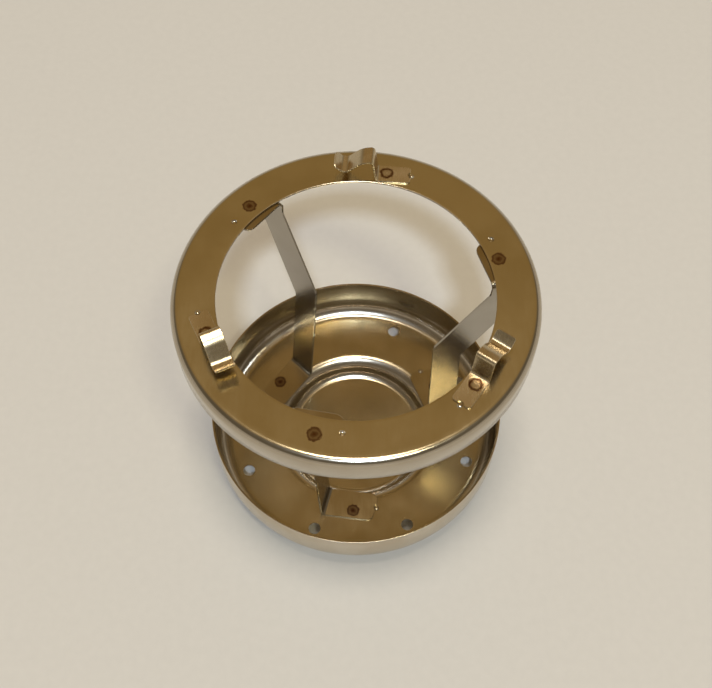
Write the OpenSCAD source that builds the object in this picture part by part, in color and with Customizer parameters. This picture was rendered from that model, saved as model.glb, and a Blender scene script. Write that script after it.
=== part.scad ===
// Gas burner ring: a flanged steel ring carried on three bent sheet legs over a
// shallow dish, with three spring clips welded on top of the ring.
// Millimetres. The axis is Z, and Z = 0 is the underside of the dish's centre cup.

/* [Top ring] */
// Outside diameter of the ring
ring_d = 100; // [96:0.5:104]
// Diameter of the opening in the ring
bore_d = 75.4; // [72:0.2:78]
// Depth of the turned-down skirt, from the top face
skirt_h = 8.4; // [6:0.2:12]
// Radius of the rounded shoulder between top face and skirt
shoulder_r = 2.4; // [1.2:0.1:3]
// Sheet thickness of the ring
ring_t = 0.6; // [0.5:0.1:0.9]

/* [Base dish] */
// Outside diameter of the dish
dish_d = 92.6; // [90:0.2:96]
// Height of the rim above the dish floor
rim_h = 15.3; // [10:0.1:20]
// Inside radius between floor and wall
dish_corner_r = 4.7; // [3:0.1:5.2]
// Sheet thickness of the dish
dish_t = 0.6; // [0.5:0.1:0.9]
// Diameter at which the floor starts to fall into the centre cup
cup_d = 54.6; // [50:0.2:56]
// Depth of the centre cup below the floor
cup_depth = 6; // [5.6:0.1:8]
// Radius of the cup's rounded mouth
cup_mouth_r = 4.4; // [3.5:0.1:4.5]
// Radius at the foot of the cup's wall
cup_foot_r = 2.7; // [2:0.1:2.8]
// Slope of the cup's wall from upright, in degrees
cup_draft = 12; // [8:1:14]

/* [Holes in the dish floor] */
// Number of holes
hole_n = 8; // [4:1:12]
// Hole diameter
hole_d = 3.8; // [3:0.1:4.4]
// Diameter of the circle the holes lie on
hole_circle_d = 77; // [74:0.5:78]
// Angle of the first hole, in degrees
hole_a = 25; // [22:1:28]

/* [Legs] */
// Height of the ring's top face above the dish floor
lift = 82.5; // [70:0.5:95]
// Angle of the first leg, in degrees
leg_a = 14.5; // [10:0.5:18]
// Sheet thickness of the legs
leg_t = 0.6; // [0.5:0.1:0.9]
// Centre-line radius of both bends
leg_bend_r = 1.7; // [1.2:0.1:2]
// Sideways lean of the web, in degrees
leg_lean = 3.1; // [2:0.1:4]
// Sideways place of the web at the dish floor
leg_side = -2.3; // [-3:0.1:-1]
// Distance of the web's inner edge from the axis at the floor
foot_r = 24; // [22:0.2:25]
// Width of the web at the floor
foot_w = 9.2; // [8:0.1:10]
// Distance of the inner edge from the axis at the elbow
elbow_r = 22; // [20:0.2:24]
// Width of the web at the elbow
elbow_w = 9.2; // [8:0.1:10]
// Depth of the inner elbow below the ring's top face
elbow_in = 31; // [28:0.5:34]
// Depth of the outer elbow below the ring's top face
elbow_out = 39.7; // [37:0.1:43]
// Depth at which the inner edge starts to slant
slant_in = 5.6; // [4.5:0.1:7]
// Depth at which the outer edge starts to slant
slant_out = 9.8; // [8:0.1:11]
// Radius of the corners in the web's side edges
elbow_corner_r = 3; // [1:0.5:6]
// How far the top tab shows inside the ring's opening
tab_peep = 1.3; // [0.8:0.1:2]
// Room between the top tab and the ring's rounded shoulder
tab_room = 0.2; // [0.1:0.1:0.6]
// Far end of the top tab, sideways from the leg's centre line
tab_end = 7.4; // [6:0.1:8]
// Inward slant of the top tab, in degrees
tab_slant = 5; // [3:1:7]
// Corner radius at the end of the top tab
tab_corner_r = 2.6; // [1.5:0.1:3]
// Far end of the foot tab, sideways from the leg's centre line
foot_end = 13.9; // [12:0.1:15]
// Inward slant of the foot tab, in degrees
foot_slant = 8; // [6:1:10]
// Corner radius at the end of the foot tab
foot_corner_r = 2.2; // [1.5:0.1:2.8]

/* [Spring clips] */
// Angle of the first clip, in degrees
clip_a = 84.8; // [80:0.2:90]
// Distance of the clip's inner edge from the edge of the ring's opening
clip_edge = 0.2; // [0.1:0.1:1.2]
// Width of the clip
clip_w = 5.6; // [5:0.1:6]
// Sheet thickness of the clips
clip_t = 0.5; // [0.4:0.05:0.6]
// Sideways place of the riser
clip_side = -2.3; // [-3:0.1:-1]
// Length of the welded tab behind the riser
clip_tab = 9.6; // [8:0.1:10.5]
// Height of the crest above the ring
crest_h = 8.3; // [7.5:0.1:9]
// Lean of the riser at the crest
crest_v = 1.1; // [0.6:0.1:1.6]
// Height of the knee above the ring
knee_h = 7.4; // [6.8:0.1:7.8]
// Distance of the knee ahead of the riser
knee_v = 4.4; // [4:0.1:5]
// Height of the valley above the ring
valley_h = 2.7; // [2.4:0.1:3.2]
// Distance of the valley ahead of the riser
valley_v = 9; // [8.6:0.1:9.6]
// Height of the upturned tip above the ring
tip_h = 5.5; // [5:0.1:6]
// Distance of the tip ahead of the riser
tip_v = 12; // [11.6:0.1:12.6]
// Centre-line radius of the bend at the riser's foot
clip_foot_r = 0.8; // [0.5:0.1:1]
// Centre-line radius of the crest
crest_r = 1; // [0.6:0.1:1.2]
// Centre-line radius of the knee
knee_r = 4; // [2:0.1:4.4]
// Centre-line radius of the valley
valley_r = 1.8; // [1.2:0.1:2]
// Corner radius of the clip's ends
clip_corner_r = 0.9; // [0.5:0.1:1.2]

/* [Locating pips] */
// Radius of a pip at its root
pip_r = 0.8; // [0.6:0.05:0.9]
// Height of a pip
pip_h = 0.4; // [0.3:0.05:0.45]
// Room round a pip in the notch that fits it
notch_gap = 0.3; // [0.2:0.05:0.4]

/* [Hidden] */
$fn = 72;
small_fn = 24;
bend_step = 26;
pip_root = 0.1;
// Pip's top radius as a share of its root radius
pip_taper = 0.6;
// How far trimming shapes reach past the sheet they trim
spare = 1;
leg_n = 3;
leg_step = 360 / leg_n;
bore_r = bore_d / 2;
skirt_r = ring_d / 2;
floor_z = cup_depth + dish_t;
top_z = floor_z + lift;
under_z = top_z - ring_t;

// Web centre line, as it leans: sideways place where it meets each tab's mid plane
web_foot_z = floor_z + leg_t / 2;
web_top_z = under_z - leg_t / 2;
web_top_v = leg_side - (web_top_z - web_foot_z) * tan(leg_lean);
// Height that a bend takes up, with room to spare
bend_room = leg_bend_r + leg_t;
// Where the two bends end and the flat tabs start
foot_start = leg_side + leg_bend_r * tan((90 - leg_lean) / 2);
tab_start = web_top_v + leg_bend_r * tan((90 + leg_lean) / 2);
// Top tab's edges at its bend
tab_in = bore_r - tab_peep;
tab_face_v = web_top_v - leg_t;
tab_out = sqrt(pow(skirt_r - shoulder_r - tab_room, 2) - pow(tab_face_v, 2));
// Clip's centre line
clip_r = bore_r + clip_edge + clip_w / 2;

function unit(p) = p / norm(p);
function turn(a, b) = acos(unit(a) * unit(b));
function left(p) = [-p[1], p[0]];
function spin(p, a) = [p[0] * cos(a) - p[1] * sin(a), p[0] * sin(a) + p[1] * cos(a)];

// Centre line of a bent sheet as [point, left normal] pairs, with an arc at each bend
function bent_line(path, bends) =
  let (
    last = len(path) - 1,
    dir = [for (i = [0 : last - 1]) unit(path[i + 1] - path[i])]
  )
  concat(
    [[path[0], left(dir[0])]],
    [for (i = [1 : last - 1])
      let (
        a = turn(dir[i - 1], dir[i]),
        way = sign(left(dir[i - 1]) * dir[i]),
        start = path[i] - dir[i - 1] * bends[i - 1] * tan(a / 2),
        middle = start + way * left(dir[i - 1]) * bends[i - 1],
        steps = ceil(a / bend_step)
      )
      for (k = [0 : steps])
        let (normal = spin(left(dir[i - 1]), way * a * k / steps))
        [middle - way * bends[i - 1] * normal, normal]],
    [[path[last], left(dir[last - 1])]]
  );

// Sheet of thickness t bent along a centre line, with a bend radius at each inner point
module bent_strip(path, bends, t) {
  line = bent_line(path, bends);
  last = len(line) - 1;
  polygon(concat(
    [for (i = [0 : last]) line[i][0] - line[i][1] * t / 2],
    [for (i = [last : -1 : 0]) line[i][0] + line[i][1] * t / 2]
  ));
}

// Plan of a tab and of the bend it grows from. Past v = start it slants inward, up to
// v = end, with rounded far corners and a notch for a pip in the middle of its end.
module tab_outline(u_in, u_out, root, start, end, slant, corner) {
  k = tan(slant);
  shift = (end - start) * k;
  difference() {
    polygon([[u_in, root], [u_out, root], [u_out, start], [u_out - shift, end], [u_in - shift, end], [u_in, start]]);
    for (side = [0, 1]) {
      edge = (side == 0 ? u_in : u_out) - shift;
      inward = side == 0 ? 1 : -1;
      y = end - corner;
      x = edge + k * corner + inward * corner / cos(slant);
      difference() {
        translate([inward > 0 ? x - 2 * corner : x, y]) square([2 * corner, 2 * corner]);
        translate([x, y]) circle(r = corner, $fn = small_fn);
      }
    }
    translate([notch_u(u_in, u_out, start, end, slant), end + notch_gap]) circle(r = pip_r + notch_gap, $fn = small_fn);
  }
}

function notch_u(u_in, u_out, start, end, slant) = (u_in + u_out) / 2 - (end - start) * tan(slant);

// Pips beside the tab ends: sideways place and distance from the axis
tab_pip = [notch_u(tab_in, tab_out, tab_start, tab_end, tab_slant), tab_end + notch_gap];
foot_pip = [notch_u(foot_r, foot_r + foot_w, foot_start, foot_end, foot_slant), foot_end + notch_gap];
clip_pip = [clip_r, clip_side - clip_tab - notch_gap];

// A pip on the face at Z = 0, or the cutter for the dent behind one
module pip() {
  translate([0, 0, -pip_root]) cylinder(h = pip_h + pip_root, r1 = pip_r, r2 = pip_r * pip_taper, $fn = small_fn);
}

module at_legs() {
  for (i = [0 : leg_n - 1]) rotate(leg_a + i * leg_step) children();
}

module at_clips() {
  for (i = [0 : leg_n - 1]) rotate(clip_a + i * leg_step) children();
}

// Flat ring with a rounded shoulder and a turned-down skirt. The pips that place the
// legs are pressed down, those that place the clips are pressed up.
module top_ring() {
  mid_z = top_z - ring_t / 2;
  wall_r = skirt_r - ring_t / 2;
  color([0.62, 0.56, 0.46]) difference() {
    union() {
      rotate_extrude() bent_strip([[bore_r, mid_z], [wall_r, mid_z], [wall_r, top_z - skirt_h]],
        [shoulder_r - ring_t / 2], ring_t);
      at_legs() translate([tab_pip[0], tab_pip[1], under_z]) mirror([0, 0, 1]) pip();
      at_clips() translate([clip_pip[0], clip_pip[1], top_z]) pip();
    }
    at_legs() translate([tab_pip[0], tab_pip[1], top_z]) mirror([0, 0, 1]) pip();
    at_clips() translate([clip_pip[0], clip_pip[1], under_z]) pip();
  }
}

// Deep-drawn dish: upright wall, flat floor with a circle of holes, and a sunk
// round cup in the middle that it stands on
module base_dish() {
  mid_z = floor_z - dish_t / 2;
  wall_r = dish_d / 2 - dish_t / 2;
  mouth_line = cup_mouth_r - dish_t / 2;
  cup_wall_r = cup_d / 2 - mouth_line * tan((90 - cup_draft) / 2);
  cup_floor_r = cup_wall_r - cup_depth * tan(cup_draft);
  color([0.55, 0.48, 0.36]) difference() {
    union() {
      rotate_extrude() bent_strip(
        [[0, dish_t / 2], [cup_floor_r, dish_t / 2], [cup_wall_r, mid_z], [wall_r, mid_z], [wall_r, floor_z + rim_h]],
        [cup_foot_r + dish_t / 2, mouth_line, dish_corner_r + dish_t / 2], dish_t);
      at_legs() translate([foot_pip[0], foot_pip[1], floor_z]) pip();
    }
    for (i = [0 : hole_n - 1])
      rotate(hole_a + i * 360 / hole_n)
        translate([hole_circle_d / 2, 0, floor_z - 2 * dish_t]) cylinder(h = 3 * dish_t, d = hole_d, $fn = small_fn);
    at_legs() translate([foot_pip[0], foot_pip[1], floor_z - dish_t]) pip();
  }
}

// Points of an edge with each inner corner rounded
function rounded_edge(path, r) = [for (p = bent_line(path, [for (i = [1 : len(path) - 2]) r])) p[0]];

// Side outline of a leg's web: distance from the axis against height
module web_outline() {
  low = floor_z + bend_room / 2;
  upright_top = floor_z + bend_room;
  high = under_z - bend_room / 2;
  inner = rounded_edge([[tab_in, high], [tab_in, top_z - slant_in], [elbow_r, top_z - elbow_in],
    [foot_r, upright_top], [foot_r, low]], elbow_corner_r);
  outer = rounded_edge([[foot_r + foot_w, low], [foot_r + foot_w, upright_top],
    [elbow_r + elbow_w, top_z - elbow_out], [tab_out, top_z - slant_out], [tab_out, high]], elbow_corner_r);
  polygon(concat(inner, outer));
}

// Leg along +X: one strip, with an upright dog-leg web and a tab bent from each end
// the same way, trimmed to the web's side outline and to the two tabs' plans
module leg() {
  color([0.66, 0.62, 0.56]) intersection() {
    rotate([90, 0, 90]) linear_extrude(height = skirt_r)
      bent_strip([[foot_end, web_foot_z], [leg_side, web_foot_z], [web_top_v, web_top_z], [tab_end, web_top_z]],
        [leg_bend_r, leg_bend_r], leg_t);
    union() {
      rotate([90, 0, 0]) linear_extrude(height = ring_d, center = true) web_outline();
      translate([0, 0, floor_z - spare]) linear_extrude(height = bend_room + spare)
        tab_outline(foot_r, foot_r + foot_w, leg_side - 2 * leg_t, foot_start, foot_end, foot_slant, foot_corner_r);
      translate([0, 0, under_z - bend_room]) linear_extrude(height = bend_room + spare)
        tab_outline(tab_in, tab_out, tab_face_v - leg_t, tab_start, tab_end, tab_slant, tab_corner_r);
    }
  }
}

// Plan of a clip, centred on its own centre line, with the riser at v = 0
module clip_outline() {
  long = clip_tab + tip_v + clip_t;
  difference() {
    translate([-clip_w / 2, -clip_tab]) square([clip_w, long]);
    for (sx = [-1, 1]) for (v = [-clip_tab, tip_v + clip_t]) {
      dv = v < 0 ? 1 : -1;
      difference() {
        translate([sx * clip_w / 2 - clip_corner_r, v - clip_corner_r]) square(2 * clip_corner_r);
        translate([sx * (clip_w / 2 - clip_corner_r), v + dv * clip_corner_r]) circle(r = clip_corner_r, $fn = small_fn);
        translate([sx * (clip_w / 2 - 3 * clip_corner_r), v]) square(4 * clip_corner_r, center = true);
        translate([sx * clip_w / 2, v + dv * 3 * clip_corner_r]) square(4 * clip_corner_r, center = true);
      }
    }
    translate([0, -clip_tab - notch_gap]) circle(r = pip_r + notch_gap, $fn = small_fn);
  }
}

// Spring clip along +X: welded tab, riser, crest, and a finger that dips to a valley
// above the ring and turns up at its tip
module clip() {
  color([0.74, 0.66, 0.48]) translate([clip_r, clip_side, top_z]) intersection() {
    translate([-clip_w, 0, 0]) rotate([90, 0, 90]) linear_extrude(height = 2 * clip_w)
      bent_strip([[-clip_tab, clip_t / 2], [0, clip_t / 2], [crest_v, crest_h], [knee_v, knee_h],
        [valley_v, valley_h], [tip_v, tip_h]],
        [clip_foot_r, crest_r, knee_r, valley_r], clip_t);
    translate([0, 0, -spare]) linear_extrude(height = crest_h + 2 * spare) clip_outline();
  }
}

module leg_at(i) {
  rotate(leg_a + i * leg_step) leg();
}

module clip_at(i) {
  rotate(clip_a + i * leg_step) clip();
}

top_ring();
base_dish();
leg_at(0);  // leg_1
leg_at(1);  // leg_2
leg_at(2);  // leg_3
clip_at(0);  // clip_1
clip_at(1);  // clip_2
clip_at(2);  // clip_3
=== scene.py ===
# Gas burner ring: flanged ring on three bent legs over a drawn dish, with three spring
# clips on the ring. Everything is in metres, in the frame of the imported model.
import math
import bmesh
import bpy
from mathutils import Matrix, Vector


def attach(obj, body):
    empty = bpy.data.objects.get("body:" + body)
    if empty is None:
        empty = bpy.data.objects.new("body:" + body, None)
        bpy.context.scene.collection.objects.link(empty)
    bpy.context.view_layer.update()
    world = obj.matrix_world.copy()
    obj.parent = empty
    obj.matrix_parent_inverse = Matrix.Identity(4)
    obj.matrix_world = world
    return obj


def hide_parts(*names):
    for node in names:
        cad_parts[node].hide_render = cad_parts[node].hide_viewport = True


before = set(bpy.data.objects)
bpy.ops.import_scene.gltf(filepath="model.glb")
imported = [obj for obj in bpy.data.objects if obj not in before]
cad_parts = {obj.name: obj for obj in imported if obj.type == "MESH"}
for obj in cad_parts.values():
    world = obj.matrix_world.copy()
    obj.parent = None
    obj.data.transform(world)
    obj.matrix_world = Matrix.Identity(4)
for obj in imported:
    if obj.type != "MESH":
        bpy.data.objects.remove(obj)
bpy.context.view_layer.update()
print("frame loaded")

mm = 0.001
legAngles = [14.5, 134.5, 254.5]
clipAngles = [84.8, 204.8, 324.8]
floorZ = 6.6       # top of the dish floor
topZ = 89.1        # top of the ring


def wireProfile(bm, points, bends, segments):
    # A chain of edges in the XZ plane, with a rounded bend at each inner point
    verts = [bm.verts.new((x * mm, 0, z * mm)) for x, z in points]
    for a, b in zip(verts, verts[1:]):
        bm.edges.new((a, b))
    places = [v.co.copy() for v in verts]
    for i, radius in enumerate(bends, start=1):
        if radius == 0:
            continue
        before = places[i - 1] - places[i]
        after = places[i + 1] - places[i]
        turn = math.pi - before.angle(after)
        bmesh.ops.bevel(bm, geom=[verts[i]], offset=radius * mm * math.tan(turn / 2),
                        segments=segments, profile=0.5, affect="VERTICES", material=-1)


def spinRound(bm, steps):
    bmesh.ops.spin(bm, geom=bm.verts[:] + bm.edges[:], cent=(0, 0, 0), axis=(0, 0, 1),
                   angle=2 * math.pi, steps=steps, use_merge=True)
    bmesh.ops.remove_doubles(bm, verts=bm.verts, dist=1e-6)
    bmesh.ops.recalc_face_normals(bm, faces=bm.faces)


def pointNormals(bm, test):
    # Turns the whole shell so that the face chosen by test looks along its own direction
    bm.faces.ensure_lookup_table()
    face, direction = test(bm)
    if face.normal.dot(direction) < 0:
        bmesh.ops.reverse_faces(bm, faces=bm.faces)


def softenRims(bm, width, segments, sharpFrom):
    rims = [e for e in bm.edges if len(e.link_faces) == 2 and e.calc_face_angle(0) > math.radians(sharpFrom)]
    bmesh.ops.bevel(bm, geom=rims, offset=width * mm, offset_type="OFFSET", segments=segments,
                    profile=0.5, affect="EDGES", material=-1, clamp_overlap=True)


def thickenSheet(bm, sheet):
    # Gives a surface drawn on its centre line a thickness of half a sheet to each side
    bmesh.ops.recalc_face_normals(bm, faces=bm.faces)
    bm.normal_update()
    offsets = [(v, v.normal * v.calc_shell_factor() * sheet * mm / 2) for v in bm.verts]
    for v, offset in offsets:
        v.co += offset
    bmesh.ops.solidify(bm, geom=bm.faces[:], thickness=sheet * mm)


def cutWith(piece, tool, operation):
    # The boolean is applied at once, and its tool is thrown away
    step = piece.modifiers.new("cut", "BOOLEAN")
    step.operation = operation
    step.solver = "EXACT"
    step.object = tool
    graph = bpy.context.evaluated_depsgraph_get()
    cut = bpy.data.meshes.new_from_object(piece.evaluated_get(graph))
    piece.modifiers.clear()
    old = piece.data
    piece.data = cut
    bpy.data.meshes.remove(old)
    bpy.data.objects.remove(tool)


def makePiece(bm, name, material, node, cuts):
    mesh = bpy.data.meshes.new(name)
    bm.to_mesh(mesh)
    bm.free()
    piece = bpy.data.objects.new(name, mesh)
    bpy.context.collection.objects.link(piece)
    mesh.materials.append(material)
    for tool, operation in cuts:
        cutWith(piece, tool, operation)
    piece.data.polygons.foreach_set("use_smooth", [True] * len(piece.data.polygons))
    piece.data.set_sharp_from_angle(angle=math.radians(30))
    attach(piece, "root")
    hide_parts(node)
    return piece


def toolObject(bm):
    mesh = bpy.data.meshes.new("tool")
    bm.to_mesh(mesh)
    bm.free()
    tool = bpy.data.objects.new("tool", mesh)
    bpy.context.collection.objects.link(tool)
    return tool


def drillTool(places, radius, segments):
    # Upright cylinders that bore or notch a sheet, one at each place
    bm = bmesh.new()
    for place in places:
        bmesh.ops.create_cone(bm, cap_ends=True, segments=segments, radius1=radius * mm, radius2=radius * mm,
                              depth=2 * mm, matrix=Matrix.Translation(Vector(place) * mm))
    return toolObject(bm)


pip = {"radius": 0.8, "height": 0.4, "root": 0.1, "topShare": 0.55}


def buttonTool(places, up):
    # Small rounded buttons, one at each place: raised nubs, or the dents behind them
    bm = bmesh.new()
    side = 1 if up else -1
    for place in places:
        nub = bmesh.new()
        wireProfile(nub, [(0, side * pip["height"]), (pip["radius"] * pip["topShare"], side * pip["height"]),
                          (pip["radius"], 0), (pip["radius"], -side * pip["root"]), (0, -side * pip["root"])],
                    [pip["radius"] * 0.4, pip["radius"] * 0.2], 4)
        spinRound(nub, 28)
        bmesh.ops.translate(nub, vec=Vector(place) * mm, verts=nub.verts)
        part = bpy.data.meshes.new("nub")
        nub.to_mesh(part)
        nub.free()
        bm.from_mesh(part)
        bpy.data.meshes.remove(part)
    return toolObject(bm)


def around(u, v, angle):
    # Plan position of a point given in a leg's or clip's own frame
    a = math.radians(angle)
    return (u * math.cos(a) - v * math.sin(a), u * math.sin(a) + v * math.cos(a))


def steelMaterial(name, look, spots=()):
    material = bpy.data.materials.new(name)
    material.use_nodes = True
    nodes = material.node_tree.nodes
    links = material.node_tree.links
    nodes.clear()
    out = nodes.new("ShaderNodeOutputMaterial")
    shader = nodes.new("ShaderNodeBsdfPrincipled")
    links.new(shader.outputs["BSDF"], out.inputs["Surface"])
    shader.inputs["Metallic"].default_value = 1.0
    coords = nodes.new("ShaderNodeTexCoord")

    def noise(scale, detail, stretch=(1, 1, 1), turn=0.0):
        place = nodes.new("ShaderNodeMapping")
        place.inputs["Scale"].default_value = stretch
        place.inputs["Rotation"].default_value = (0, 0, math.radians(turn))
        links.new(coords.outputs["Object"], place.inputs["Vector"])
        pattern = nodes.new("ShaderNodeTexNoise")
        pattern.inputs["Scale"].default_value = scale
        pattern.inputs["Detail"].default_value = detail
        links.new(place.outputs["Vector"], pattern.inputs["Vector"])
        return pattern.outputs["Fac"]

    def mapRange(value, fromMin, fromMax, toMin, toMax):
        node = nodes.new("ShaderNodeMapRange")
        node.interpolation_type = "SMOOTHSTEP"
        node.inputs["From Min"].default_value = fromMin
        node.inputs["From Max"].default_value = fromMax
        node.inputs["To Min"].default_value = toMin
        node.inputs["To Max"].default_value = toMax
        links.new(value, node.inputs["Value"])
        return node.outputs["Result"]

    def mixColour(factor, a, b):
        node = nodes.new("ShaderNodeMix")
        node.data_type = "RGBA"
        links.new(factor, node.inputs[0])
        for socket, colour in ((node.inputs[6], a), (node.inputs[7], b)):
            if isinstance(colour, tuple):
                socket.default_value = (*colour, 1)
            else:
                links.new(colour, socket)
        return node.outputs[2]

    def mathNode(operation, a, b):
        node = nodes.new("ShaderNodeMath")
        node.operation = operation
        for socket, value in zip(node.inputs, (a, b)):
            if isinstance(value, (int, float)):
                socket.default_value = value
            else:
                links.new(value, socket)
        return node.outputs[0]

    mottle = mapRange(noise(look["mottleScale"], 4), 0.35, 0.65, 0, 1)
    colour = mixColour(mottle, look["colour"], look["mottleColour"])
    # Faces that look up get a browner, darker colour: painted shade and painted reflection of the dim room
    # and of the ring's underside, laid over a brown heat tint from the flame
    facing = nodes.new("ShaderNodeNewGeometry")
    upward = nodes.new("ShaderNodeSeparateXYZ")
    links.new(facing.outputs["True Normal"], upward.inputs["Vector"])
    colour = mixColour(mapRange(upward.outputs["Z"], 0.9, 1.0, 0, 1), colour,
                       mixColour(mottle, look["upShadeAndTint"], look["upShadeAndTintMottle"]))
    grain = noise(look["grainScale"], 3, look["grainStretch"], look["grainTurn"])
    smear = mapRange(noise(look["smearScale"], 3), 0.3, 0.7, 0, 1)
    roughness = mathNode("ADD", mapRange(grain, 0.3, 0.7, look["roughness"][0], look["roughness"][1]),
                      mathNode("MULTIPLY", smear, look["smearRoughness"]))

    for spot in spots:
        centre = nodes.new("ShaderNodeVectorMath")
        centre.operation = "DISTANCE"
        links.new(coords.outputs["Object"], centre.inputs[0])
        centre.inputs[1].default_value = Vector(spot["at"]) * mm
        ragged = mathNode("MULTIPLY", mapRange(noise(1100, 3), 0.2, 0.8, -0.5, 0.5), spot["ragged"] * mm)
        distance = mathNode("ADD", centre.outputs["Value"], ragged)
        share = mathNode("DIVIDE", distance, spot["radius"] * mm)
        ramp = nodes.new("ShaderNodeValToRGB")
        ramp.color_ramp.interpolation = "EASE"
        stops = spot["stops"]
        while len(ramp.color_ramp.elements) < len(stops):
            ramp.color_ramp.elements.new(0.5)
        for element, (position, strength) in zip(ramp.color_ramp.elements, stops):
            element.position = position
            element.color = (strength, strength, strength, 1)
        links.new(share, ramp.inputs["Fac"])
        strength = ramp.outputs["Color"]
        colour = mixColour(strength, colour, spot["colour"])
        burnt = nodes.new("ShaderNodeMix")
        burnt.data_type = "FLOAT"
        links.new(strength, burnt.inputs[0])
        links.new(roughness, burnt.inputs[2])
        burnt.inputs[3].default_value = 0.2
        roughness = burnt.outputs[0]

    links.new(colour, shader.inputs["Base Color"])
    links.new(roughness, shader.inputs["Roughness"])
    shader.inputs["Anisotropic"].default_value = look["anisotropic"]
    bump = nodes.new("ShaderNodeBump")
    bump.inputs["Strength"].default_value = look["bump"]
    bump.inputs["Distance"].default_value = 0.00002
    height = mathNode("ADD", grain, mathNode("MULTIPLY", noise(look["waveScale"], 2), look["waveHeight"]))
    links.new(height, bump.inputs["Height"])
    links.new(bump.outputs["Normal"], shader.inputs["Normal"])
    return material


weldDisc = [(0.0, 1.0), (0.3, 0.85), (0.52, 0.6), (0.8, 0.9), (1.0, 0.0)]
weldRing = [(0.0, 0.15), (0.4, 0.25), (0.72, 1.0), (1.0, 0.0)]


def weldSpots(weld, angles, z, stops):
    spots = []
    for angle, nudge in zip(angles, weld["nudges"]):
        x, y = around(weld["place"][0] + nudge, weld["place"][1], angle)
        spots.append({"at": (x, y, z), "radius": weld["radius"], "ragged": 0.5, "colour": weld["colour"],
                      "stops": stops})
    return spots


ring = {
    "outerR": 50.0, "boreR": 37.7, "skirt": 8.4, "shoulder": 2.4, "sheet": 0.6,
    "steps": 240, "rimSoft": 0.12, "loops": (38.4, 39.6, 41.9, 43.5, 46.6),
    "legPip": (40.54, 7.7), "clipPip": (40.7, -12.2),
}


def buildRing(material):
    bm = bmesh.new()
    flat = [(r, topZ) for r in (ring["boreR"], *ring["loops"])]
    wireProfile(bm, flat + [(ring["outerR"], topZ), (ring["outerR"], topZ - ring["skirt"])],
                [0] * len(ring["loops"]) + [ring["shoulder"]], 10)
    spinRound(bm, ring["steps"])
    pointNormals(bm, lambda b: (max(b.faces, key=lambda f: f.calc_center_median().z), Vector((0, 0, 1))))
    bmesh.ops.solidify(bm, geom=bm.faces[:], thickness=ring["sheet"] * mm)
    softenRims(bm, ring["rimSoft"], 2, 60)
    raised = [(*around(*ring["clipPip"], a), topZ) for a in clipAngles]
    sunk = [(*around(*ring["legPip"], a), topZ) for a in legAngles]
    underRaised = [(x, y, z - ring["sheet"]) for x, y, z in raised]
    underSunk = [(x, y, z - ring["sheet"]) for x, y, z in sunk]
    makePiece(bm, "topRing", material, "top_ring", [
        (buttonTool(raised, True), "UNION"), (buttonTool(underSunk, False), "UNION"),
        (buttonTool(sunk, False), "DIFFERENCE"), (buttonTool(underRaised, True), "DIFFERENCE")])


dish = {
    "outerR": 46.3, "rim": 15.3, "corner": 4.7, "sheet": 0.6,
    "cupR": 27.3, "cupDepth": 6.0, "mouthR": 4.4, "footR": 2.7, "draft": 12,
    "holes": 8, "holeR": 1.9, "holeCircleR": 38.5, "holeAngle": 25,
    "steps": 240, "rimSoft": 0.12, "loops": (31.2, 35.8, 40.7), "footPip": (26.55, 14.2),
}


def buildDish(material):
    mouthLine = dish["mouthR"] - dish["sheet"] / 2
    wallR = dish["cupR"] - mouthLine * math.tan(math.radians(90 - dish["draft"]) / 2)
    cupFloorR = wallR - dish["cupDepth"] * math.tan(math.radians(dish["draft"]))
    innerR = dish["outerR"] - dish["sheet"]
    lean = dish["sheet"] * math.tan(math.radians(90 - dish["draft"]) / 2)
    # The line followed is the upper and inner face of the sheet
    profile = [(0.0, floorZ - dish["cupDepth"]), (cupFloorR - lean / 2, floorZ - dish["cupDepth"]),
               (wallR - lean / 2, floorZ), *[(r, floorZ) for r in dish["loops"]],
               (innerR, floorZ), (innerR, floorZ + dish["rim"])]
    bm = bmesh.new()
    wireProfile(bm, profile, [dish["footR"], dish["mouthR"], *[0] * len(dish["loops"]), dish["corner"]], 12)
    spinRound(bm, dish["steps"])
    pointNormals(bm, lambda b: (min(b.faces, key=lambda f: f.calc_center_median().z), Vector((0, 0, 1))))
    bmesh.ops.solidify(bm, geom=bm.faces[:], thickness=dish["sheet"] * mm)
    softenRims(bm, dish["rimSoft"], 2, 60)
    holeAngles = [dish["holeAngle"] + i * 360 / dish["holes"] for i in range(dish["holes"])]
    holes = drillTool([(*around(dish["holeCircleR"], 0, a), floorZ - dish["sheet"] / 2) for a in holeAngles],
                      dish["holeR"], 40)
    raised = [(*around(*dish["footPip"], a), floorZ) for a in legAngles]
    under = [(x, y, z - dish["sheet"]) for x, y, z in raised]
    makePiece(bm, "baseDish", material, "base_dish", [
        (holes, "DIFFERENCE"), (buttonTool(raised, True), "UNION"),
        (buttonTool(under, True), "DIFFERENCE")])


leg = {
    "sheet": 0.6, "bendR": 1.7, "lean": 3.1, "side": -2.3,
    "footR": 24.0, "footW": 9.2, "elbowR": 22.0, "elbowW": 9.2,
    "elbowIn": 31.0, "elbowOut": 39.7, "slantIn": 5.6, "slantOut": 9.8,
    "tabIn": 36.4, "tabOut": 46.83, "tabEnd": 7.4, "tabSlant": 5, "tabCorner": 2.6,
    "footEnd": 13.9, "footSlant": 8, "footCorner": 2.2, "elbowCorner": 3.0,
    "footRise": 2.8, "bendSteps": 8, "notchR": 1.1, "rimSoft": 0.07,
}


def roundCorners(bm, verts, radius, segments):
    for v in verts:
        edges = [e for e in v.link_edges if e.is_boundary]
        a, b = [(e.other_vert(v).co - v.co).normalized() for e in edges[:2]]
        turn = math.pi - a.angle(b)
        bmesh.ops.bevel(bm, geom=[v], offset=radius * mm * math.tan(turn / 2), segments=segments,
                        profile=0.5, affect="VERTICES", material=-1)


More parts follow.
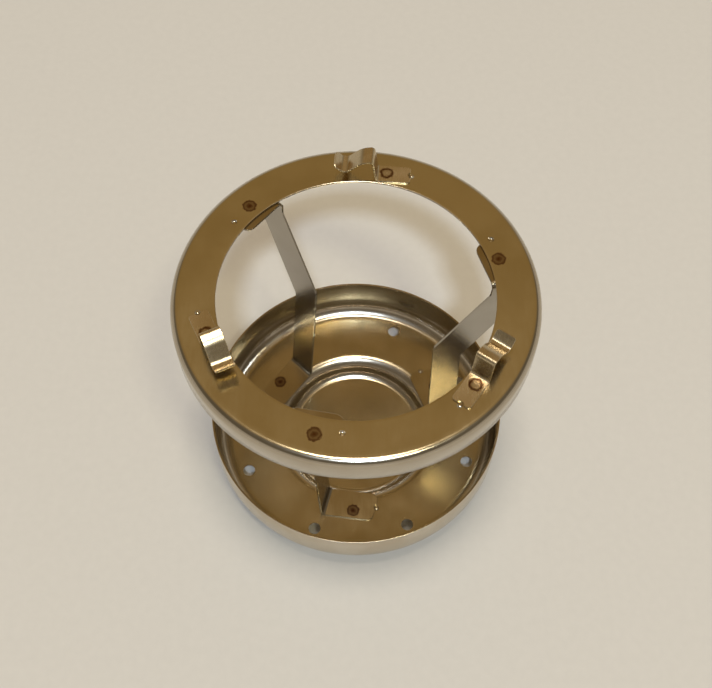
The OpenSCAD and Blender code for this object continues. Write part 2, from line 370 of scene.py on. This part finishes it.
def bendTab(bm, edge, centre, angle, length, shift):
    # A bend along the edge, then a flat tab; returns the two corners at its far end
    turned = bmesh.ops.spin(bm, geom=[edge] + list(edge.verts), cent=centre, axis=(1, 0, 0),
                            angle=angle, steps=leg["bendSteps"], use_merge=False)
    last = [g for g in turned["geom_last"] if isinstance(g, bmesh.types.BMEdge)]
    grown = bmesh.ops.extrude_edge_only(bm, edges=last)
    corners = [g for g in grown["geom"] if isinstance(g, bmesh.types.BMVert)]
    bmesh.ops.translate(bm, vec=(-shift * mm, length * mm, 0), verts=corners)
    return corners


def buildLeg(angle, name, node, material):
    lean = math.radians(leg["lean"])
    footZ = floorZ + leg["sheet"] / 2
    headZ = topZ - 1.5 * leg["sheet"]
    headV = leg["side"] - (headZ - footZ) * math.tan(lean)
    footReach = leg["bendR"] * math.tan((math.pi / 2 - lean) / 2)
    headReach = leg["bendR"] * math.tan((math.pi / 2 + lean) / 2)
    footStart = leg["side"] + footReach
    tabStart = headV + headReach
    bm = bmesh.new()

    def webVert(u, z):
        return bm.verts.new(Vector((u, leg["side"] - (z - footZ) * math.tan(lean), z)) * mm)

    lowZ = footZ + footReach * math.cos(lean)
    highZ = headZ - headReach * math.cos(lean)
    uprightTop = floorZ + leg["footRise"]
    footOuter = leg["footR"] + leg["footW"]
    inner = [webVert(leg["footR"], lowZ), webVert(leg["footR"], uprightTop),
             webVert(leg["elbowR"], topZ - leg["elbowIn"]), webVert(leg["tabIn"], topZ - leg["slantIn"]),
             webVert(leg["tabIn"], highZ)]
    outer = [webVert(leg["tabOut"], highZ), webVert(leg["tabOut"], topZ - leg["slantOut"]),
             webVert(leg["elbowR"] + leg["elbowW"], topZ - leg["elbowOut"]),
             webVert(footOuter, uprightTop), webVert(footOuter, lowZ)]
    bm.faces.new(inner + outer)
    lowEdge = bm.edges.get((inner[0], outer[-1]))
    highEdge = bm.edges.get((inner[-1], outer[0]))
    footLength = leg["footEnd"] - footStart
    footShift = footLength * math.tan(math.radians(leg["footSlant"]))
    tabLength = leg["tabEnd"] - tabStart
    tabShift = tabLength * math.tan(math.radians(leg["tabSlant"]))
    footCentre = Vector((0, footStart, footZ + leg["bendR"])) * mm
    tabCentre = Vector((0, tabStart, headZ - leg["bendR"])) * mm
    footCorners = bendTab(bm, lowEdge, footCentre, math.pi / 2 - lean, footLength, footShift)
    tabCorners = bendTab(bm, highEdge, tabCentre, -(math.pi / 2 + lean), tabLength, tabShift)
    roundCorners(bm, footCorners, leg["footCorner"], 8)
    roundCorners(bm, tabCorners, leg["tabCorner"], 8)
    roundCorners(bm, inner[1:4] + outer[1:4], leg["elbowCorner"], 4)
    thickenSheet(bm, leg["sheet"])
    softenRims(bm, leg["rimSoft"], 1, 60)
    bmesh.ops.rotate(bm, cent=(0, 0, 0), matrix=Matrix.Rotation(math.radians(angle), 3, "Z"), verts=bm.verts)
    notches = drillTool([(*around(*dish["footPip"], angle), footZ), (*around(*ring["legPip"], angle), headZ)],
                        leg["notchR"], 32)
    makePiece(bm, name, material, node, [(notches, "DIFFERENCE")])


clip = {
    "edge": 0.2, "width": 5.6, "sheet": 0.5, "side": -2.3,
    "path": [(-9.6, 0.25), (0, 0.25), (1.1, 8.3), (4.4, 7.4), (9, 2.7), (12, 5.5)],
    "bends": [0.8, 1.0, 4.0, 1.8], "corner": 0.9, "notchR": 1.1, "rimSoft": 0.08,
}


def buildClip(angle, name, node, material):
    bm = bmesh.new()
    wireProfile(bm, clip["path"], clip["bends"], 8)
    # The path stands in XZ: turn it so that its run goes along v
    bmesh.ops.rotate(bm, cent=(0, 0, 0), matrix=Matrix.Rotation(math.pi / 2, 3, "Z"), verts=bm.verts)
    middle = ring["boreR"] + clip["edge"] + clip["width"] / 2
    bmesh.ops.translate(bm, vec=Vector((middle - clip["width"] / 2, clip["side"], topZ)) * mm, verts=bm.verts)
    grown = bmesh.ops.extrude_edge_only(bm, edges=bm.edges[:])
    moved = [g for g in grown["geom"] if isinstance(g, bmesh.types.BMVert)]
    bmesh.ops.translate(bm, vec=(clip["width"] * mm, 0, 0), verts=moved)
    corners = [v for v in bm.verts if len(v.link_edges) == 2]
    roundCorners(bm, corners, clip["corner"], 6)
    thickenSheet(bm, clip["sheet"])
    softenRims(bm, clip["rimSoft"], 1, 60)
    bmesh.ops.rotate(bm, cent=(0, 0, 0), matrix=Matrix.Rotation(math.radians(angle), 3, "Z"), verts=bm.verts)
    notch = drillTool([(*around(*ring["clipPip"], angle), topZ + clip["sheet"] / 2)], clip["notchR"], 32)
    makePiece(bm, name, material, node, [(notch, "DIFFERENCE")])


# In each look the colours for faces that look up hold painted shade and painted reflection as well as heat
# tint
ringLook = {
    "colour": (0.52, 0.46, 0.37), "mottleColour": (0.46, 0.40, 0.31), "mottleScale": 60,
    "upShadeAndTint": (0.52, 0.435, 0.27), "upShadeAndTintMottle": (0.47, 0.385, 0.225),
    "grainScale": 1400, "grainStretch": (1, 0.15, 1), "grainTurn": 20, "roughness": (0.165, 0.185),
    "smearScale": 140, "smearRoughness": 0.03, "anisotropic": 0.3,
    "bump": 0.02, "waveScale": 45, "waveHeight": 2.0,
}
dishLook = dict(ringLook, colour=(0.60, 0.54, 0.45), mottleColour=(0.52, 0.45, 0.35),
                upShadeAndTint=(0.42, 0.335, 0.195), upShadeAndTintMottle=(0.35, 0.275, 0.15),
                roughness=(0.20, 0.22), bump=0.006)
legLook = dict(ringLook, colour=(0.40, 0.365, 0.31), mottleColour=(0.35, 0.315, 0.26),
               upShadeAndTint=(0.37, 0.29, 0.165), upShadeAndTintMottle=(0.32, 0.245, 0.13), roughness=(0.17, 0.20),
               bump=0.012)
clipLook = dict(ringLook, colour=(0.60, 0.50, 0.34), mottleColour=(0.54, 0.44, 0.28),
                upShadeAndTint=(0.56, 0.46, 0.31), upShadeAndTintMottle=(0.50, 0.40, 0.25), roughness=(0.24, 0.27))

# Weld marks, each given in the frame of its leg or clip: radial place, sideways place, radius
welds = {
    "ring": {"place": (41.6, 1.0), "radius": 2.2, "colour": (0.12, 0.048, 0.014), "nudges": (-1.1, 0.1, 1.1)},
    "foot": {"place": (29.5, 7.2), "radius": 2.2, "colour": (0.06, 0.02, 0.008), "nudges": (0, 0, 0)},
    "clip": {"place": (41.0, -5.1), "radius": 2.2, "colour": (0.12, 0.048, 0.014), "nudges": (0, 0, 0)},
}
ringSteel = steelMaterial("ringSteel", ringLook, weldSpots(welds["ring"], legAngles, topZ, weldDisc))
dishSteel = steelMaterial("dishSteel", dishLook)
legSteel = steelMaterial("legSteel", legLook,
                         weldSpots(welds["foot"], legAngles, floorZ + leg["sheet"], weldDisc))
clipSteel = steelMaterial("clipSteel", clipLook,
                          weldSpots(welds["clip"], clipAngles, topZ + clip["sheet"], weldRing))

buildRing(ringSteel)
print("ring built")
buildDish(dishSteel)
print("dish built")
for i, angle in enumerate(legAngles, start=1):
    buildLeg(angle, "leg%d" % i, "leg_%d" % i, legSteel)
print("legs built")
for i, angle in enumerate(clipAngles, start=1):
    buildClip(angle, "clip%d" % i, "clip_%d" % i, clipSteel)
print("clips built")


stage = {
    "size": 16.0, "paper": (0.64, 0.60, 0.535), "fleck": 0.03, "fleckScale": 350,
    "farFrom": 0.5, "farTo": 2.2,
}
room = {
    "dim": (0.17, 0.14, 0.095), "patch": (0.37, 0.255, 0.115), "patchAim": (0, 0.5, 0.87),
    "patchEdge": (0.62, 0.86), "backdrop": (0.56, 0.51, 0.43), "backdropEdge": (0.2, 0.42),
}
# The cool lamp in front throws the warm shadows, the yellow one at the side the grey ones
lamps = {
    "overheadLamp": {"at": (0.0, -0.08, 3.0), "size": (0.65, 0.5), "power": 32, "colour": (1.0, 0.95, 0.88)},
    "frontLamp": {"at": (0.08, -1.63, 2.8), "size": (0.24, 0.2), "power": 48, "colour": (0.66, 0.80, 1.0)},
    "sideLamp": {"at": (0.75, -1.25, 2.87), "size": (0.4, 0.4), "power": 16, "colour": (1.0, 0.96, 0.70)},
}


def smoothRange(nodes, edges):
    node = nodes.new("ShaderNodeMapRange")
    node.interpolation_type = "SMOOTHSTEP"
    node.inputs["From Min"].default_value, node.inputs["From Max"].default_value = edges
    return node


def seenRay(nodes, link):
    # 1 for what the camera sees, straight, mirrored or through glass, and 0 for light on the part
    path = nodes.new("ShaderNodeLightPath")
    mirrored = nodes.new("ShaderNodeMath")
    mirrored.operation = "ADD"
    link(path.outputs["Is Camera Ray"], mirrored.inputs[0])
    link(path.outputs["Is Glossy Ray"], mirrored.inputs[1])
    seen = nodes.new("ShaderNodeMath")
    seen.operation = "ADD"
    seen.use_clamp = True
    link(mirrored.outputs[0], seen.inputs[0])
    link(path.outputs["Is Transmission Ray"], seen.inputs[1])
    return seen.outputs[0]


def paperMaterial():
    paper = bpy.data.materials.new("paper")
    paper.use_nodes = True
    nodes = paper.node_tree.nodes
    link = paper.node_tree.links.new
    shader = nodes["Principled BSDF"]
    shader.inputs["Roughness"].default_value = 0.9
    shader.inputs["Specular IOR Level"].default_value = 0.2
    coords = nodes.new("ShaderNodeTexCoord")
    noise = nodes.new("ShaderNodeTexNoise")
    noise.inputs["Scale"].default_value = stage["fleckScale"]
    tone = nodes.new("ShaderNodeMix")
    tone.data_type = "RGBA"
    tone.inputs[6].default_value = (*[c * (1 - stage["fleck"]) for c in stage["paper"]], 1)
    tone.inputs[7].default_value = (*[c * (1 + stage["fleck"]) for c in stage["paper"]], 1)
    link(coords.outputs["Object"], noise.inputs["Vector"])
    link(noise.outputs["Fac"], tone.inputs[0])
    link(tone.outputs[2], shader.inputs["Base Color"])
    # Far from the part the paper keeps its pale tone, whatever the lamps reach
    reach = nodes.new("ShaderNodeVectorMath")
    reach.operation = "LENGTH"
    far = smoothRange(nodes, (stage["farFrom"], stage["farTo"]))
    glow = nodes.new("ShaderNodeEmission")
    glow.inputs["Color"].default_value = (*room["backdrop"], 1)
    blend = nodes.new("ShaderNodeMixShader")
    link(coords.outputs["Object"], reach.inputs[0])
    link(reach.outputs["Value"], far.inputs["Value"])
    share = nodes.new("ShaderNodeMath")
    share.operation = "MULTIPLY"
    link(far.outputs["Result"], share.inputs[0])
    link(seenRay(nodes, link), share.inputs[1])
    link(share.outputs[0], blend.inputs[0])
    link(shader.outputs["BSDF"], blend.inputs[1])
    link(glow.outputs["Emission"], blend.inputs[2])
    link(blend.outputs["Shader"], nodes["Material Output"].inputs["Surface"])
    return paper


def buildFloor():
    bm = bmesh.new()
    bmesh.ops.create_grid(bm, x_segments=1, y_segments=1, size=stage["size"] / 2)
    mesh = bpy.data.meshes.new("paperFloor")
    bm.to_mesh(mesh)
    bm.free()
    mesh.materials.append(paperMaterial())
    paperFloor = bpy.data.objects.new("paperFloor", mesh)
    bpy.context.collection.objects.link(paperFloor)


def buildRoom():
    # A dim room with one broad warm patch, high up behind the part, that its flat faces mirror
    world = bpy.data.worlds.new("room")
    bpy.context.scene.world = world
    world.use_nodes = True
    nodes = world.node_tree.nodes
    link = world.node_tree.links.new
    coords = nodes.new("ShaderNodeTexCoord")
    aim = nodes.new("ShaderNodeVectorMath")
    aim.operation = "DOT_PRODUCT"
    aim.inputs[1].default_value = Vector(room["patchAim"]).normalized()
    ramp = nodes.new("ShaderNodeValToRGB")
    ramp.color_ramp.interpolation = "EASE"
    for element, tone, edge in zip(ramp.color_ramp.elements, ("dim", "patch"), room["patchEdge"]):
        element.color = (*room[tone], 1)
        element.position = edge
    link(coords.outputs["Generated"], aim.inputs[0])
    link(aim.outputs["Value"], ramp.inputs["Fac"])
    # The low part is as pale as the paper, so that level views have a pale backdrop
    height = nodes.new("ShaderNodeSeparateXYZ")
    backdrop = smoothRange(nodes, room["backdropEdge"])
    mix = nodes.new("ShaderNodeMix")
    mix.data_type = "RGBA"
    mix.inputs[6].default_value = (*room["backdrop"], 1)
    link(coords.outputs["Generated"], height.inputs["Vector"])
    link(height.outputs["Z"], backdrop.inputs["Value"])
    unseen = nodes.new("ShaderNodeMath")
    unseen.operation = "SUBTRACT"
    unseen.inputs[0].default_value = 1
    link(seenRay(nodes, link), unseen.inputs[1])
    share = nodes.new("ShaderNodeMath")
    share.operation = "MAXIMUM"
    link(backdrop.outputs["Result"], share.inputs[0])
    link(unseen.outputs[0], share.inputs[1])
    link(share.outputs[0], mix.inputs[0])
    link(ramp.outputs["Color"], mix.inputs[7])
    link(mix.outputs[2], nodes["Background"].inputs["Color"])
    nodes["Background"].inputs["Strength"].default_value = 1.0


def hangLamp(name, lamp):
    light = bpy.data.lights.new(name, "AREA")
    light.shape = "RECTANGLE"
    light.size, light.size_y = lamp["size"]
    light.energy = lamp["power"]
    light.color = lamp["colour"]
    holder = bpy.data.objects.new(name, light)
    holder.location = lamp["at"]
    toPart = Vector((0, 0, 0.05)) - Vector(lamp["at"])
    holder.rotation_euler = toPart.to_track_quat("-Z", "Y").to_euler()
    bpy.context.collection.objects.link(holder)


buildFloor()
buildRoom()
for name, lamp in lamps.items():
    hangLamp(name, lamp)

camera = {"at": (0, -0.1554, 0.3359), "tilt": 29.53, "lens": 54.96, "sensor": 36}
cameraData = bpy.data.cameras.new("photoCamera")
cameraData.sensor_width = camera["sensor"]
cameraData.lens = camera["lens"]
cameraObject = bpy.data.objects.new("photoCamera", cameraData)
cameraObject.location = camera["at"]
cameraObject.rotation_euler = (math.radians(camera["tilt"]), 0, 0)
bpy.context.collection.objects.link(cameraObject)
bpy.context.scene.camera = cameraObject
bpy.context.scene.view_settings.view_transform = "Standard"

print("stage and camera set")
